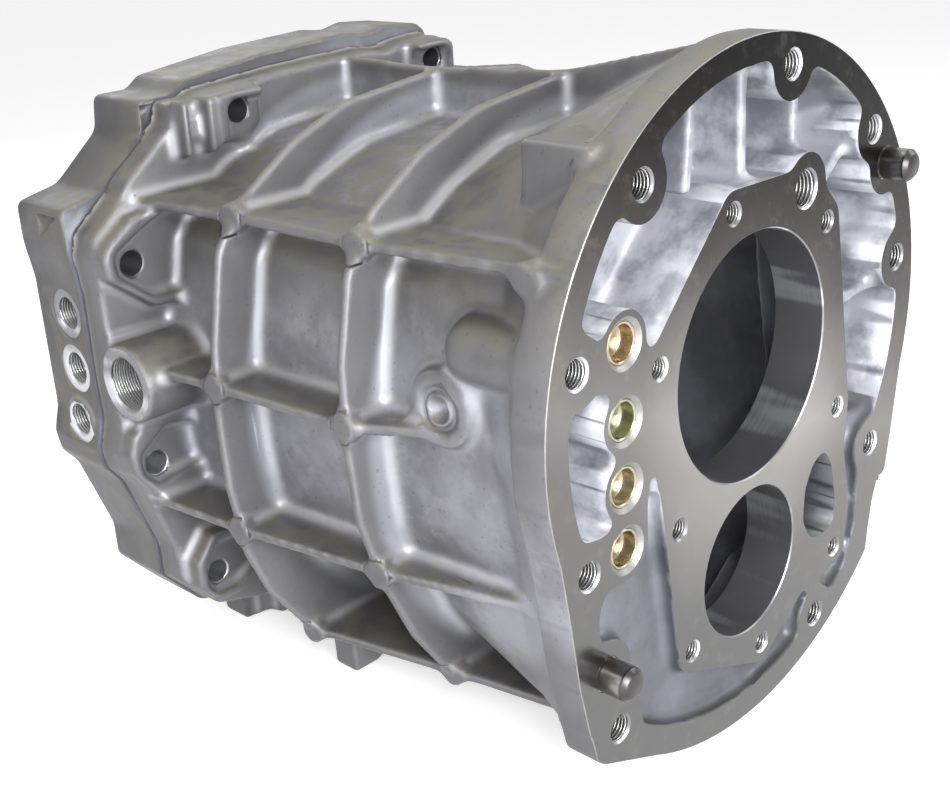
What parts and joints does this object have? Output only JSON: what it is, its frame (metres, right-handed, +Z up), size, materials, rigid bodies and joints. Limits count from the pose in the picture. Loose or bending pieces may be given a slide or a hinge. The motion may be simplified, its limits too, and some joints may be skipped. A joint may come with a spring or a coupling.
{
  "type": "gearbox case",
  "caption": "Front case of a manual gearbox: ribbed aluminium casting with bearing bores, flanges, dowel pins and cup plugs.",
  "frame": {"origin": "centre of the input shaft's bearing bore; the front face is the plane y = 0", "axes": "+Y into the case from the front face, +Z up from the countershaft to the input shaft, +X to the right seen from the front"},
  "size_m": [0.3579, 0.34, 0.341],
  "materials": {
    "cast_aluminium": "as cast, with machined faces and bores",
    "dowel_steel": "ground, oiled",
    "plated_steel": "zinc plated, yellow passivated"
  },
  "bodies": {
    "root": {"case": "cast_aluminium", "upper_dowel": "dowel_steel", "lower_dowel": "dowel_steel", "rail_plug_1": "plated_steel", "rail_plug_2": "plated_steel", "rail_plug_3": "plated_steel", "rail_plug_4": "plated_steel"}
  },
  "joints": []
}
